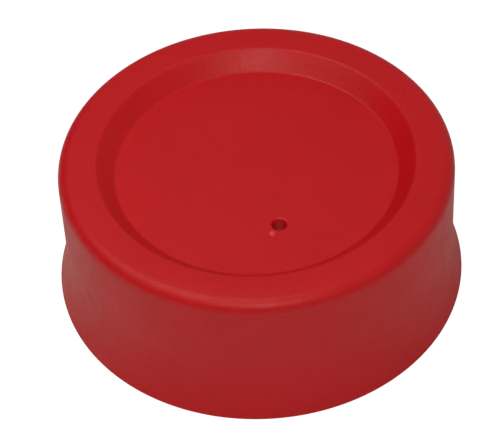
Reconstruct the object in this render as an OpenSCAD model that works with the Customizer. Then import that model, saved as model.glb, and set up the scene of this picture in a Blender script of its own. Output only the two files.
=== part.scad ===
// Push-on filler cap of a water filled road barrier, with the gasket that seals it on the filler neck.
// The origin is the centre of the lower rim and +Z runs up the cap's axis. All sizes are in millimetres.

/* [Skirt] */
// Outside diameter of the straight part of the skirt
body_d = 100; // [80:1:140]
// Height from the lower rim to the top face
cap_h = 39.7; // [34:0.1:60]
// Wall thickness of the moulding
wall = 2.5; // [1.8:0.1:3]
// Radius of the rounded shoulder
shoulder_r = 3.1; // [1.5:0.1:5]
// Height of the flared part at the foot of the skirt
flare_h = 19; // [12:0.5:23]
// How far the lower rim stands out from the straight skirt
flare_out = 2.9; // [1:0.1:4]
// Rounding of the rim's outer edge
rim_outer_r = 0.7; // [0.3:0.1:1.1]
// Rounding of the rim's inner edge
rim_inner_r = 0.5; // [0.2:0.1:0.6]

/* [Top dish] */
// Width of the flat ring between the skirt's outside and the dish
land_w = 9.7; // [7.5:0.1:16]
// Depth of the dish below the top face
dish_depth = 4.4; // [2.5:0.1:6]
// Slope of the dish's wall, from the horizontal
dish_angle = 45; // [35:1:70]
// Rounding where the top face turns down into the dish
dish_edge_r = 1; // [0.3:0.1:1.6]
// Rounding at the foot of the dish's wall
dish_foot_r = 1; // [0.3:0.1:1.6]

/* [Vent] */
// Diameter of the breather hole
vent_d = 3.4; // [2:0.1:8]
// Rounding of the breather hole's mouth
vent_edge_r = 0.8; // [0.1:0.1:1]
// Wall thickness of the collar that lines the hole under the dish
vent_collar_t = 2.2; // [1:0.1:3]
// How far the collar reaches below the underside of the dish
vent_collar_h = 1.6; // [0.5:0.1:6]
// Distance of the breather hole from the cap's axis
vent_offset = 20; // [10:0.5:25]
// Direction of the breather hole from the cap's axis
vent_angle = -76; // [-180:1:180]

/* [Gate mark] */
// Diameter of the small bead left by the mould's gate
gate_d = 2; // [1:0.1:3]
// Height of the bead
gate_h = 0.6; // [0.2:0.1:1]
// Distance from the edge of the breather hole to the bead's centre
gate_gap = 1.9; // [1.4:0.1:6]
// Direction of the bead from the breather hole
gate_angle = -120; // [-180:1:180]

/* [Gasket seat] */
// Thickness of the gasket
gasket_t = 6; // [4:0.1:7.5]
// Depth of the groove in the skirt that holds the gasket's outer edge
groove_depth = 0.6; // [0.3:0.1:0.9]
// Clearance all round the gasket, except where it bears on the roof
gasket_gap = 0.1; // [0.05:0.05:0.3]
// Size of the bevels on the gasket's inner edges
gasket_bevel = 0.4; // [0.1:0.1:0.8]

/* [Ribs] */
// Number of gusset ribs round the underside of the dish
rib_count = 12; // [6:1:24]
// Thickness of a rib
rib_t = 1.6; // [1:0.1:2.5]
// Height of a rib, down from the roof
rib_h = 3.5; // [2:0.1:4]
// How far the ribs stand out from the dish's wall at the roof
rib_reach = 0.7; // [0.4:0.1:2]

/* [Hidden] */
$fn = 144;

// How far a cutting shape runs past the face that it cuts
over = 1;

body_r = body_d / 2;
bore_r = body_r - wall;
roof_z = cap_h - wall;

// The skirt's flare is an arc that starts upright at the top of the flare and ends at the rim.
flare_arc_r = (pow(flare_h, 2) + pow(flare_out, 2)) / (2 * flare_out);
flare_centre = [body_r + flare_arc_r, flare_h];
rim_r = body_r + flare_out;

// The dish's wall is as thick as the rest, so its underside is the same outline moved out.
dish_r = body_r - land_w;
dish_floor_r = dish_r - dish_depth / tan(dish_angle);
dish_floor_z = cap_h - dish_depth;
underside_shift = wall * tan(dish_angle / 2);
boss_root_r = dish_r + underside_shift;
boss_floor_r = dish_floor_r + underside_shift;
boss_floor_z = dish_floor_z - wall;
boss_edge_r = dish_foot_r + wall;

// The gasket lies against the roof, between the groove in the skirt and the ends of the ribs.
groove_r = bore_r + groove_depth;
groove_z = roof_z - gasket_t - gasket_gap;
rib_end_r = boss_root_r + rib_reach;
gasket_outer_r = groove_r - gasket_gap;
gasket_inner_r = rib_end_r + gasket_gap;
gasket_z = roof_z - gasket_t;

vent_at = vent_offset * [cos(vent_angle), sin(vent_angle)];
gate_at = vent_at + (vent_d / 2 + gate_gap) * [cos(gate_angle), sin(gate_angle)];

// The area between a corner at p and the arc of radius r that rounds it.
// The corner's edges leave p at angles a and b, where b is the larger and they are under 180 apart.
module spandrel(p, a, b, r) {
    half = (b - a) / 2;
    mid = (a + b) / 2;
    reach = r / tan(half);
    centre = p + r / sin(half) * [cos(mid), sin(mid)];
    difference() {
        polygon([p, p + reach * [cos(a), sin(a)], centre, p + reach * [cos(b), sin(b)]]);
        translate(centre) circle(r);
    }
}

// Everything under the flare's arc of radius r, as far down as z = -drop
module under_flare(r, drop) {
    difference() {
        translate([0, -drop]) square([rim_r, flare_h + drop]);
        translate(flare_centre) circle(r);
    }
}

// The corner that comes off the rim's outer edge, where the arc of the flare meets the lower face
module rim_outer_corner() {
    span = flare_arc_r + rim_outer_r;
    centre = [flare_centre.x - sqrt(pow(span, 2) - pow(flare_h - rim_outer_r, 2)), rim_outer_r];
    touch = centre + (flare_centre - centre) * rim_outer_r / span;
    difference() {
        translate([centre.x, -over]) square([rim_r, touch.y + over]);
        translate(centre) circle(rim_outer_r);
    }
}

// The corner that comes off the rim's inner edge
module rim_inner_corner() {
    span = flare_arc_r + wall - rim_inner_r;
    centre = [flare_centre.x - sqrt(pow(span, 2) - pow(flare_h - rim_inner_r, 2)), rim_inner_r];
    touch = centre + (centre - flare_centre) * rim_inner_r / span;
    difference() {
        translate([touch.x - over, -over]) square([centre.x - touch.x + over, touch.y + over]);
        translate(centre) circle(rim_inner_r);
    }
}

// The hollow of the dish, above the shell
module dish_outline() {
    difference() {
        union() {
            polygon([
                [0, dish_floor_z], [dish_floor_r, dish_floor_z], [dish_r, cap_h],
                [dish_r, cap_h + over], [0, cap_h + over]
            ]);
            spandrel([dish_r, cap_h], dish_angle - 180, 0, dish_edge_r);
        }
        spandrel([dish_floor_r, dish_floor_z], dish_angle, 180, dish_foot_r);
    }
}

// The underside of the dish, which hangs below the roof as a boss
module boss_outline() {
    difference() {
        polygon([
            [0, boss_floor_z], [boss_floor_r, boss_floor_z], [boss_root_r, roof_z],
            [boss_root_r, roof_z + over], [0, roof_z + over]
        ]);
        spandrel([boss_floor_r, boss_floor_z], dish_angle, 180, boss_edge_r);
    }
}

// The hollow inside the skirt, under the roof
module cavity_outline() {
    difference() {
        union() {
            translate([0, -over]) square([bore_r, roof_z + over]);
            translate([0, groove_z]) square([groove_r, roof_z - groove_z]);
            under_flare(flare_arc_r + wall, over);
            rim_inner_corner();
        }
        boss_outline();
    }
}

module shell_outline() {
    difference() {
        union() {
            square([body_r, cap_h]);
            under_flare(flare_arc_r, 0);
        }
        spandrel([body_r, cap_h], 180, 270, shoulder_r);
        rim_outer_corner();
        dish_outline();
        cavity_outline();
    }
}

// One gusset rib, between the wall of the dish and the roof
module rib() {
    foot_z = roof_z - rib_h;
    foot_r = boss_root_r - rib_h / tan(dish_angle) - wall / 2;
    rotate([90, 0, 0])
        translate([0, 0, -rib_t / 2])
            linear_extrude(rib_t)
                polygon([
                    [foot_r, foot_z], [rib_end_r, foot_z],
                    [rib_end_r, roof_z + wall / 2], [dish_r, roof_z + wall / 2]
                ]);
}

// The low domed bead left by the gate, on a stub that joins it to the floor of the dish
module gate_mark() {
    dome_r = (pow(gate_d / 2, 2) + pow(gate_h, 2)) / (2 * gate_h);
    translate([gate_at.x, gate_at.y, dish_floor_z])
        rotate_extrude()
            intersection() {
                translate([0, gate_h - dome_r]) circle(dome_r);
                translate([0, -wall / 2]) square([gate_d / 2, wall]);
            }
}

// The collar under the dish, sunk into its floor by half the wall
module vent_collar() {
    translate([vent_at.x, vent_at.y, boss_floor_z - vent_collar_h])
        cylinder(d = vent_d + 2 * vent_collar_t, h = vent_collar_h + wall / 2);
}

// The breather hole and the rounding of its mouth
module vent_cut() {
    translate([vent_at.x, vent_at.y, 0]) {
        translate([0, 0, boss_floor_z - vent_collar_h - over])
            cylinder(d = vent_d, h = wall + vent_collar_h + 2 * over);
        rotate_extrude() spandrel([vent_d / 2, dish_floor_z], -90, 0, vent_edge_r);
    }
}

module cap_shell() {
    color("firebrick")
        difference() {
            union() {
                rotate_extrude() shell_outline();
                for (i = [0 : rib_count - 1]) rotate([0, 0, i * 360 / rib_count]) rib();
                vent_collar();
                gate_mark();
            }
            vent_cut();
        }
}

// Square-cut ring with bevelled edges. The outer bevels end its flat faces just inside the skirt's bore.
module sealing_gasket() {
    inner = gasket_bevel;
    outer = groove_depth;
    color("dimgray")
        rotate_extrude()
            polygon([
                [gasket_inner_r + inner, gasket_z], [gasket_outer_r - outer, gasket_z],
                [gasket_outer_r, gasket_z + outer], [gasket_outer_r, roof_z - outer],
                [gasket_outer_r - outer, roof_z], [gasket_inner_r + inner, roof_z],
                [gasket_inner_r, roof_z - inner], [gasket_inner_r, gasket_z + inner]
            ]);
}

cap_shell();
sealing_gasket();
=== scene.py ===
from math import asin, atan2, cos, pi, radians, sin, sqrt, tan

import bmesh
import bpy
from mathutils import Matrix, Vector


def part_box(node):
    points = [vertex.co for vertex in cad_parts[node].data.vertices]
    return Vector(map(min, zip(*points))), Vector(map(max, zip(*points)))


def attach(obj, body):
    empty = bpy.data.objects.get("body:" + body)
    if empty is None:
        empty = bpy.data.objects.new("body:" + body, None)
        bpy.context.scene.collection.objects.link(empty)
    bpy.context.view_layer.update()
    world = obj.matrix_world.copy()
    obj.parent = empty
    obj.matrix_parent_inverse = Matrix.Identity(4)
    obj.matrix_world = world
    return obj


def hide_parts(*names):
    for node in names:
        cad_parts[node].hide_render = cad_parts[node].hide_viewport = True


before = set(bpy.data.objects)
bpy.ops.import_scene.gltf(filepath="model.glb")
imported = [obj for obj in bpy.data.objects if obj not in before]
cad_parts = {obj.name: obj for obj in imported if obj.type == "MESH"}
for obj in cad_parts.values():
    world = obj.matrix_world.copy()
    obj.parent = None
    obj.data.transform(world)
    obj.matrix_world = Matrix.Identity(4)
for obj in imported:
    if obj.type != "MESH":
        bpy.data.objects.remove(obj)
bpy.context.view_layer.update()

# ---------------------------------------------------------------- sizes, in metres, as in the CAD model

MM = 0.001
shell_low, shell_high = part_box("cap_shell")
gasket_low, gasket_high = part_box("sealing_gasket")

CAP_H = shell_high.z
BODY_R = 50.0 * MM
WALL = 2.5 * MM
SHOULDER_R = 3.1 * MM
FLARE_H = 19.0 * MM
FLARE_OUT = 2.9 * MM
RIM_OUTER_R = 0.7 * MM
RIM_INNER_R = 0.5 * MM
LAND_W = 9.7 * MM
DISH_DEPTH = 4.4 * MM
DISH_ANGLE = radians(45)
DISH_EDGE_R = 1.0 * MM
DISH_FOOT_R = 1.0 * MM
VENT_R = 1.7 * MM
VENT_EDGE_R = 0.8 * MM
VENT_COLLAR_T = 2.2 * MM
VENT_COLLAR_H = 1.6 * MM
VENT_OFFSET = 20.0 * MM
VENT_ANGLE = radians(-76)
GATE_R = 1.0 * MM
GATE_H = 0.6 * MM
GATE_GAP = 1.9 * MM
GATE_ANGLE = radians(-120)
GROOVE_DEPTH = 0.6 * MM
GASKET_GAP = 0.1 * MM
GASKET_BEVEL = 0.4 * MM
RIB_COUNT = 12
RIB_T = 1.6 * MM
RIB_H = 3.5 * MM
RIB_REACH = 0.7 * MM

ROOF_Z = CAP_H - WALL
BORE_R = BODY_R - WALL
GROOVE_R = BORE_R + GROOVE_DEPTH
GROOVE_Z = gasket_low.z - GASKET_GAP
DISH_R = BODY_R - LAND_W
FLOOR_Z = CAP_H - DISH_DEPTH
FLOOR_R = DISH_R - DISH_DEPTH / tan(DISH_ANGLE)
UNDERSIDE_SHIFT = WALL * tan(DISH_ANGLE / 2)
BOSS_R = DISH_R + UNDERSIDE_SHIFT
FLARE_ARC_R = (FLARE_H**2 + FLARE_OUT**2) / (2 * FLARE_OUT)

VENT_AT = Vector((cos(VENT_ANGLE), sin(VENT_ANGLE))) * VENT_OFFSET
GATE_AT = VENT_AT + Vector((cos(GATE_ANGLE), sin(GATE_ANGLE))) * (VENT_R + GATE_GAP)

SEGMENTS = 288
# Points or heights closer than this are the same
TOUCHING = 0.01 * MM

# ---------------------------------------------------------------- outlines


def arc(centre, radius, start, end, step=radians(9)):
    """Points along an arc from one angle to the other, both ends included."""
    count = max(2, round(abs(end - start) / step))
    angles = [start + (end - start) * i / count for i in range(count + 1)]
    return [(centre[0] + radius * cos(a), centre[1] + radius * sin(a)) for a in angles]


def rounded(before, corner, after, radius):
    """The arc of that radius that rounds the corner between two straight edges."""
    p, q, s = Vector(before), Vector(corner), Vector(after)
    to_p, to_s = (p - q).normalized(), (s - q).normalized()
    half = to_p.angle(to_s) / 2
    centre = q + (to_p + to_s).normalized() * radius / sin(half)
    first = q + to_p * radius / tan(half) - centre
    last = q + to_s * radius / tan(half) - centre
    start = atan2(first.y, first.x)
    end = atan2(last.y, last.x)
    turn = (end - start + pi) % (2 * pi) - pi
    return arc(centre, radius, start, start + turn)


def between(start, end, step):
    """Points along a straight line at about that spacing, without its two ends."""
    a, b = Vector(start), Vector(end)
    count = max(1, round((b - a).length / step))
    return [tuple(a.lerp(b, i / count)) for i in range(1, count)]


def joined(*runs, step=2.5 * MM):
    """One outline from several runs of points, with the straight gaps between them filled in."""
    points = list(runs[0])
    for run in runs[1:]:
        points += between(points[-1], run[0], step)
        points += [p for p in run if (Vector(p) - Vector(points[-1])).length > TOUCHING]
    return points


def flare(wall):
    """The flare's arc from its upright top down to the rim's rounding, and that rounding.
    wall is 0 for the outside and the wall's thickness for the inside."""
    cx, cz = BODY_R + FLARE_ARC_R, FLARE_H
    outside = wall == 0
    radius = FLARE_ARC_R + wall
    edge = RIM_OUTER_R if outside else RIM_INNER_R
    span = radius + edge if outside else radius - edge
    ex = cx - sqrt(span**2 - (cz - edge) ** 2)
    lean = asin((cz - edge) / span)
    sweep = arc((cx, cz), radius, pi, pi + lean, radians(1.2))
    if outside:
        return sweep + arc((ex, edge), edge, lean, -pi / 2)[1:]
    return sweep + arc((ex, edge), edge, pi + lean, 1.5 * pi)[1:]


def blended(inner_r, outer_r, height, finest=0.1 * MM, coarsest=1.5 * MM):
    """Rings across a flat floor, from the hole's edge to the floor's, evenly close together near the hole
    and then further and further apart."""
    close_reach, growth = 4 * MM, 1.15
    span = outer_r - inner_r
    rings = []
    reach = 0.0
    step = finest
    while reach < span:
        rings.append((inner_r + reach, height, 1 - reach / span))
        reach += step
        step = finest if reach < close_reach else min(coarsest, step * growth)
    return rings + [(outer_r, height, 0)]


def shell_outline():
    """The shell's closed outline as (radius, height, share) rings, share being how far the ring's centre
    has moved from the cap's axis to the breather hole's."""
    vent_out = VENT_R + VENT_EDGE_R
    mouth = arc((vent_out, FLOOR_Z - VENT_EDGE_R), VENT_EDGE_R, pi, pi / 2)
    foot = rounded((0, FLOOR_Z), (FLOOR_R, FLOOR_Z), (DISH_R, CAP_H), DISH_FOOT_R)
    edge = rounded((FLOOR_R, FLOOR_Z), (DISH_R, CAP_H), (BODY_R, CAP_H), DISH_EDGE_R)
    shoulder = rounded((0, CAP_H), (BODY_R, CAP_H), (BODY_R, 0), SHOULDER_R)
    boss_floor = (FLOOR_R + UNDERSIDE_SHIFT, FLOOR_Z - WALL)
    boss_root = (BOSS_R, ROOF_Z)
    boss_edge = rounded(boss_root, boss_floor, (0, boss_floor[1]), DISH_FOOT_R + WALL)
    groove = [(BORE_R, GROOVE_Z), (GROOVE_R, GROOVE_Z), (GROOVE_R, ROOF_Z)]
    skirt = joined(
        foot, edge, shoulder, flare(0), flare(WALL)[::-1], *[[p] for p in groove], [boss_root], boss_edge
    )
    top = blended(vent_out, foot[0][0], FLOOR_Z)
    collar_r = VENT_R + VENT_COLLAR_T
    collar_z = boss_floor[1] - VENT_COLLAR_H
    under = blended(collar_r, boss_edge[-1][0], boss_floor[1])
    collar = joined([(collar_r, boss_floor[1])], [(collar_r, collar_z)], [(VENT_R, collar_z)], step=0.5 * MM)
    hole = collar + between(collar[-1], mouth[0], 0.3 * MM)
    return (
        [(r, z, 1) for r, z in mouth]
        + top[1:-1]
        + [(r, z, 0) for r, z in skirt]
        + under[-2:0:-1]
        + [(r, z, 1) for r, z in hole]
    )


def gasket_outline():
    """The gasket's outline as (radius, height) points: a rectangle with each corner cut off. The outer
    corners are cut more, to slip into the groove."""
    low, high, outer = gasket_low.z, gasket_high.z, gasket_high.x
    inner = BOSS_R + RIB_REACH + GASKET_GAP
    corners = [(outer, low), (outer, high), (inner, high), (inner, low)]
    cuts = [GROOVE_DEPTH, GROOVE_DEPTH, GASKET_BEVEL, GASKET_BEVEL]
    crown = 0.15
    outline = []
    for n, (corner, cut) in enumerate(zip(corners, cuts)):
        here, before, after = Vector(corner), Vector(corners[n - 1]), Vector(corners[(n + 1) % 4])
        a = here + (before - here).normalized() * cut
        b = here + (after - here).normalized() * cut
        outline += [tuple(a), tuple(a.lerp(b, 0.5).lerp(here, crown)), tuple(b)]
    filled = []
    for n, point in enumerate(outline):
        filled += [point, *between(point, outline[(n + 1) % len(outline)], 0.8 * MM)]
    return filled


# ---------------------------------------------------------------- meshes


def mesh_object(name, vertices, faces):
    mesh = bpy.data.meshes.new(name)
    mesh.from_pydata(vertices, [], faces)
    mesh.validate()
    work = bmesh.new()
    work.from_mesh(mesh)
    bmesh.ops.recalc_face_normals(work, faces=work.faces)
    work.to_mesh(mesh)
    work.free()
    thing = bpy.data.objects.new(name, mesh)
    bpy.context.collection.objects.link(thing)
    return thing


def turned(name, rings, shape=None):
    """A closed ring of an outline turned about the cap's axis. shape(x, y, z) may move a point."""
    vertices = []
    for r, z, share in rings:
        for i in range(SEGMENTS):
            a = 2 * pi * i / SEGMENTS
            point = (VENT_AT.x * share + r * cos(a), VENT_AT.y * share + r * sin(a), z)
            vertices.append(shape(*point) if shape else point)
    faces = []
    for j in range(len(rings)):
        here, there = j * SEGMENTS, (j + 1) % len(rings) * SEGMENTS
        for i in range(SEGMENTS):
            k = (i + 1) % SEGMENTS
            faces.append((here + i, here + k, there + k, there + i))
    return mesh_object(name, vertices, faces)


def with_gate_bead(x, y, z):
    """Raises the dish's floor into the small bead left by the gate, with a thin run-out round it."""
    run_out_reach, run_out_share, fullness = 1.3, 0.15, 0.75
    if abs(z - FLOOR_Z) > TOUCHING:
        return (x, y, z)
    away = (Vector((x, y)) - GATE_AT).length / GATE_R
    if away >= run_out_reach:
        return (x, y, z)
    bead = max(0.0, 1 - away**2) ** fullness
    run_out = min(1.0, (run_out_reach - away) ** 2)
    return (x, y, z + GATE_H * ((1 - run_out_share) * bead + run_out_share * run_out))


def add_ribs(shell):
    """Joins the gusset ribs under the dish to the shell, each a little sunk into it."""
    sunk = WALL / 2
    foot_z = ROOF_Z - RIB_H
    side = [
        (BOSS_R - RIB_H / tan(DISH_ANGLE) - sunk, foot_z),
        (BOSS_R + RIB_REACH, foot_z),
        (BOSS_R + RIB_REACH, ROOF_Z + sunk),
        (DISH_R, ROOF_Z + sunk),
    ]
    vertices, faces = [], []
    for n in range(RIB_COUNT):
        turn = Matrix.Rotation(2 * pi * n / RIB_COUNT, 3, "Z")
        base = len(vertices)
        for y in (-RIB_T / 2, RIB_T / 2):
            vertices += [tuple(turn @ Vector((r, y, z))) for r, z in side]
        faces += [(base + 3, base + 2, base + 1, base), (base + 4, base + 5, base + 6, base + 7)]
        faces += [(base + k, base + (k + 1) % 4, base + 4 + (k + 1) % 4, base + 4 + k) for k in range(4)]
    ribs = mesh_object("ribs", vertices, faces)
    union = shell.modifiers.new("ribs", "BOOLEAN")
    union.operation = "UNION"
    union.solver = "MANIFOLD"
    union.object = ribs
    apply_modifiers(shell)
    bpy.data.objects.remove(ribs)


def apply_modifiers(thing):
    shown = thing.evaluated_get(bpy.context.evaluated_depsgraph_get())
    mesh = bpy.data.meshes.new_from_object(shown)
    thing.modifiers.clear()
    thing.data = mesh


def smooth(thing, angle):
    """Shades the mesh smoothly, apart from the edges that are sharper than the angle."""
    for face in thing.data.polygons:
        face.use_smooth = True
    thing.data.set_sharp_from_angle(angle=angle)


def painted(thing, material):
    thing.data.materials.clear()
    thing.data.materials.append(material)


def make_shell():
    shell = turned("cap_shell_moulding", shell_outline(), with_gate_bead)
    add_ribs(shell)
    smooth(shell, radians(50))
    painted(shell, red_polyethylene())
    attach(shell, "root")
    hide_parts("cap_shell")


def make_gasket():
    gasket = turned("ring_gasket", [(r, z, 0) for r, z in gasket_outline()])
    smooth(gasket, radians(40))
    painted(gasket, black_rubber())
    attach(gasket, "root")
    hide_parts("sealing_gasket")


# ---------------------------------------------------------------- materials


class Nodes:
    """A node tree, with short ways to add to it."""

    def __init__(self, tree):
        self.tree = tree

    def add(self, kind, **settings):
        node = self.tree.nodes.new(kind)
        for key, value in settings.items():
            setattr(node, key, value)
        return node

    def link(self, output, socket):
        self.tree.links.new(output, socket)

    def position(self, kind):
        return self.add("ShaderNodeTexCoord").outputs[kind]

    def split(self, vector):
        node = self.add("ShaderNodeSeparateXYZ")
        self.link(vector, node.inputs[0])
        return node.outputs

    def math(self, operation, first, second=0.0):
        node = self.add("ShaderNodeMath", operation=operation)
        for socket, value in ((node.inputs[0], first), (node.inputs[1], second)):
            if isinstance(value, float):
                socket.default_value = value
            else:
                self.link(value, socket)
        return node.outputs[0]

    def ranged(self, value, low, high, to_low=0.0, to_high=1.0, interpolation="LINEAR"):
        """The value taken from one range to another, and kept within it."""
        node = self.add("ShaderNodeMapRange", interpolation_type=interpolation, clamp=True)
        self.link(value, node.inputs["Value"])
        for key, number in (("From Min", low), ("From Max", high), ("To Min", to_low), ("To Max", to_high)):
            node.inputs[key].default_value = number
        return node.outputs["Result"]


class Finish(Nodes):
    """A material's node tree."""

    def __init__(self, name):
        self.material = bpy.data.materials.new(name)
        self.material.use_nodes = True
        super().__init__(self.material.node_tree)
        self.shader = self.tree.nodes["Principled BSDF"]
        self.place = self.position("Object")

    def noise(self, scale, detail, roughness=0.5):
        node = self.add("ShaderNodeTexNoise")
        node.inputs["Scale"].default_value = scale
        node.inputs["Detail"].default_value = detail
        node.inputs["Roughness"].default_value = roughness
        self.link(self.place, node.inputs["Vector"])
        return node.outputs["Fac"]

    def mix(self, share, first, second):
        node = self.add("ShaderNodeMix", data_type="RGBA")
        self.link(share, node.inputs[0])
        for socket, colour in ((node.inputs[6], first), (node.inputs[7], second)):
            if isinstance(colour, tuple):
                socket.default_value = (*colour, 1.0)
            else:
                self.link(colour, socket)
        return node.outputs[2]

    def near_point(self, point, reach):
        """1 close to the point, falling to 0 at that distance from it."""
        node = self.add("ShaderNodeVectorMath", operation="DISTANCE")
        self.link(self.place, node.inputs[0])
        node.inputs[1].default_value = point
        return self.ranged(node.outputs["Value"], 0.6 * reach, reach, 1.0, 0.0)

    def near_ring(self, radius, height, reach):
        """1 on a ring round the cap's axis, falling to 0 at that distance from it."""
        x, y, z = self.split(self.place)
        squared = self.math("ADD", self.math("MULTIPLY", x, x), self.math("MULTIPLY", y, y))
        out = self.math("SUBTRACT", self.math("SQRT", squared), radius)
        up = self.math("SUBTRACT", z, height)
        squared = self.math("ADD", self.math("MULTIPLY", out, out), self.math("MULTIPLY", up, up))
        return self.ranged(self.math("SQRT", squared), 0.0, reach, 1.0, 0.0)

    def bump(self, height, distance, strength, before=None):
        node = self.add("ShaderNodeBump")
        node.inputs["Distance"].default_value = distance
        node.inputs["Strength"].default_value = strength
        self.link(height, node.inputs["Height"])
        if before:
            self.link(before, node.inputs["Normal"])
        return node.outputs["Normal"]

    def done(self, colour=None, roughness=None, normal=None, **fixed):
        """Links what varies to the shader, sets what is the same all over, and returns the material."""
        for key, value in (("Base Color", colour), ("Roughness", roughness), ("Normal", normal)):
            if value is not None:
                self.link(value, self.shader.inputs[key])
        for key, value in fixed.items():
            self.shader.inputs[key.replace("_", " ")].default_value = value
        return self.material


def edge_wear(n):
    """How close a point is to one of the edges that rub: the shoulder, the rim and the mouth of the dish."""
    corner = SHOULDER_R * (1 - cos(pi / 4))
    shoulder = n.near_ring(BODY_R - corner, CAP_H - corner, 1.6 * MM)
    rim = n.near_ring(shell_high.x - RIM_OUTER_R / 2, RIM_OUTER_R, 1.4 * MM)
    mouth = n.near_ring(DISH_R, CAP_H, 1.2 * MM)
    return n.math("MAXIMUM", n.math("MAXIMUM", shoulder, rim), mouth)


def red_polyethylene():
    """Pigmented polyethylene: satin, faintly mottled, with the fine grain of a blasted mould, rubbed a
    little paler along its edges. The gate bead is torn plastic and smoother than the rest. It is painted
    paler pink as a painted highlight, which shows from every side."""
    deep, bright, fleck = (0.535, 0.0006, 0.0060), (0.567, 0.0010, 0.0076), (0.60, 0.0020, 0.0100)
    # The second of these two colours is the gate bead's painted highlight: a paler pink that stands in for a
    # glint.
    pale, bead_painted_highlight = (0.68, 0.030, 0.030), (0.70, 0.060, 0.062)
    n = Finish("red_polyethylene")
    mottle = n.ranged(n.noise(60, 4), 0.35, 0.65)
    speckle = n.ranged(n.noise(900, 2), 0.3, 0.7)
    rubbed = n.math("MULTIPLY", edge_wear(n), n.ranged(n.noise(420, 5, 0.7), 0.45, 0.7))
    bead = n.near_point((*GATE_AT, FLOOR_Z + GATE_H / 2), 1.1 * GATE_R)

    colour = n.mix(mottle, deep, bright)
    colour = n.mix(n.math("MULTIPLY", speckle, 0.35), colour, fleck)
    colour = n.mix(n.math("MULTIPLY", rubbed, 0.15), colour, pale)
    # Painted highlight: the gate bead is painted paler pink, as a glint that shows from every side.
    colour = n.mix(n.math("MULTIPLY", bead, 0.85), colour, bead_painted_highlight)

    roughness = n.ranged(n.noise(220, 5, 0.6), 0.3, 0.7, 0.40, 0.50)
    roughness = n.math("ADD", roughness, n.math("MULTIPLY", rubbed, 0.08))
    roughness = n.math("SUBTRACT", roughness, n.math("MULTIPLY", bead, 0.12))

    grain = n.bump(n.noise(1300, 3, 0.6), 0.12 * MM, 0.8)
    normal = n.bump(n.noise(330, 3), 0.10 * MM, 0.35, grain)
    return n.done(
        colour,
        roughness,
        normal,
        Subsurface_Weight=0.30,
        Subsurface_Radius=(0.004, 0.0006, 0.0005),
        Subsurface_Scale=0.6,
        Specular_IOR_Level=0.33,
    )


def black_rubber():
    """Moulded rubber with a dusty bloom."""
    n = Finish("black_rubber")
    bloom = n.ranged(n.noise(140, 5, 0.6), 0.4, 0.75)
    colour = n.mix(bloom, (0.012, 0.012, 0.013), (0.030, 0.030, 0.031))
    roughness = n.ranged(n.noise(400, 4), 0.3, 0.7, 0.62, 0.82)
    normal = n.bump(n.noise(1400, 4, 0.6), 0.06 * MM, 0.5)
    return n.done(colour, roughness, normal, Specular_IOR_Level=0.35)


def white_paper():
    n = Finish("white_paper")
    shade = n.mix(n.noise(8, 3), (0.79, 0.79, 0.79), (0.81, 0.81, 0.81))
    return n.done(shade, Roughness=0.9)


def overexposed_paper():
    """The same paper as the camera sees it: so well lit that it is plain white."""
    n = Finish("overexposed_paper")
    return n.done(Base_Color=(0, 0, 0, 1), Roughness=0.9, Emission_Color=(1, 1, 1, 1), Emission_Strength=1.05)


# ---------------------------------------------------------------- studio

STUDIO_R = 2.0
WARM = (1.0, 0.97, 0.86)

CAMERA_ELEVATION = radians(46.62)
CAMERA_ROLL = radians(-3.21)
CAMERA_LENS = 163.8
CAMERA_DISTANCE = 0.6
# Where the centre of the cap's base lies from the middle of the view, to the right and up
AIM_RIGHT = 2.92 * MM
AIM_UP = -11.61 * MM


def sheet(rings):
    """The vertices and faces of a sheet between circles round the cap's axis, as (radius, height)."""
    vertices = []
    for r, z in rings:
        for i in range(SEGMENTS):
            a = 2 * pi * i / SEGMENTS
            vertices.append((r * cos(a), r * sin(a), z))
    faces = []
    for here in range(0, (len(rings) - 1) * SEGMENTS, SEGMENTS):
        for i in range(SEGMENTS):
            k = (i + 1) % SEGMENTS
            faces.append((here + i, here + k, here + SEGMENTS + k, here + SEGMENTS + i))
    return vertices, faces


def staged(name, vertices, faces, material):
    """A mesh of the studio, which isn't part of the cap."""
    thing = mesh_object(name, vertices, faces)
    painted(thing, material)
    return thing


def make_floor():
    """The white floor and backdrop that the camera sees, and the sheet that sends light back to the cap.
    The floor is open under the cap, so that a view from below shows the cap's underside."""
    ground = sheet([(shell_high.x - RIM_OUTER_R, 0), (STUDIO_R, 0)])
    dome = sheet(arc((0, 0), STUDIO_R, 0, pi / 2 - radians(0.5)))
    white = overexposed_paper()
    for thing in (staged("floor", *ground, white), staged("backdrop", *dome, white)):
        for ray in ("diffuse", "glossy", "transmission", "volume_scatter", "shadow"):
            setattr(thing, "visible_" + ray, False)
    bounce = staged("floor_bounce", *ground, white_paper())
    bounce.visible_camera = False


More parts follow.
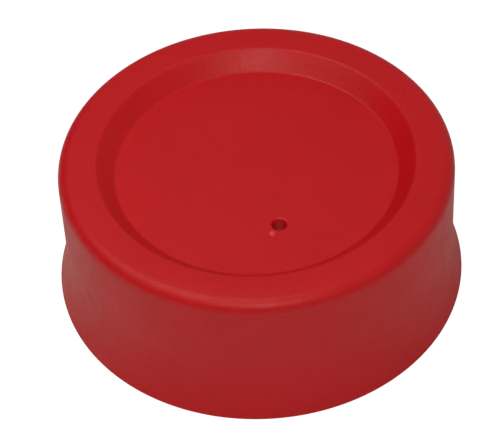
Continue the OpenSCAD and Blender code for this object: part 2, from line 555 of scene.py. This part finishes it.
def make_camera():
    back = Vector((0, -cos(CAMERA_ELEVATION), sin(CAMERA_ELEVATION)))
    level = Vector((1, 0, 0))
    rise = back.cross(level)
    right = cos(CAMERA_ROLL) * level + sin(CAMERA_ROLL) * rise
    up = back.cross(right)
    data = bpy.data.cameras.new("camera")
    data.lens = CAMERA_LENS
    data.sensor_width = 36.0
    data.sensor_fit = "HORIZONTAL"
    data.clip_start = 0.01
    data.clip_end = 20
    camera = bpy.data.objects.new("camera", data)
    bpy.context.collection.objects.link(camera)
    camera.matrix_world = Matrix((right, up, back)).transposed().to_4x4()
    camera.location = CAMERA_DISTANCE * back - AIM_RIGHT * right - AIM_UP * up
    bpy.context.scene.camera = camera


def area_light(name, azimuth, elevation, distance, width, height, power):
    """A soft box that faces the cap and that the camera doesn't see. Azimuth 0 is towards -Y and grows
    towards +X."""
    data = bpy.data.lights.new(name, "AREA")
    data.shape = "ELLIPSE"
    data.size = width
    data.size_y = height
    data.energy = power
    data.color = WARM
    light = bpy.data.objects.new(name, data)
    bpy.context.collection.objects.link(light)
    a, e = radians(azimuth), radians(elevation)
    away = Vector((sin(a) * cos(e), -cos(a) * cos(e), sin(e)))
    light.location = away * distance + Vector((0, 0, CAP_H / 2))
    light.rotation_euler = away.to_track_quat("Z", "Y").to_euler()
    light.visible_camera = False


def make_lights():
    area_light("key", -3, 46, 0.8, 0.10, 0.12, 1.84)
    area_light("left", -66, 48, 0.55, 0.50, 0.50, 0.28)
    area_light("top_left", -100, 72, 0.5, 0.40, 0.40, 1.00)
    area_light("below", 0, -90, 0.6, 0.50, 0.50, 1.90)


def make_world():
    """A white room whose far right side, behind the cap, is lit, and which is dark below the floor."""
    world = bpy.data.worlds.new("world")
    bpy.context.scene.world = world
    world.use_nodes = True
    n = Nodes(world.node_tree)
    right, back, up = n.split(n.position("Generated"))
    side = n.math("ADD", right, n.math("MULTIPLY", back, 0.35))
    lit = n.ranged(side, -0.35, 0.35, 0.04, 0.36, "SMOOTHSTEP")
    above = n.ranged(up, -0.1, 0.0, 0.05, 1.0, "SMOOTHSTEP")
    background = n.tree.nodes["Background"]
    n.link(n.math("MULTIPLY", lit, above), background.inputs["Strength"])
    background.inputs["Color"].default_value = (*WARM, 1)


def show_plain_colours():
    view = bpy.context.scene.view_settings
    view.view_transform = "Standard"
    view.look = "None"


make_camera()
make_shell()
make_gasket()
make_floor()
make_lights()
make_world()
show_plain_colours()
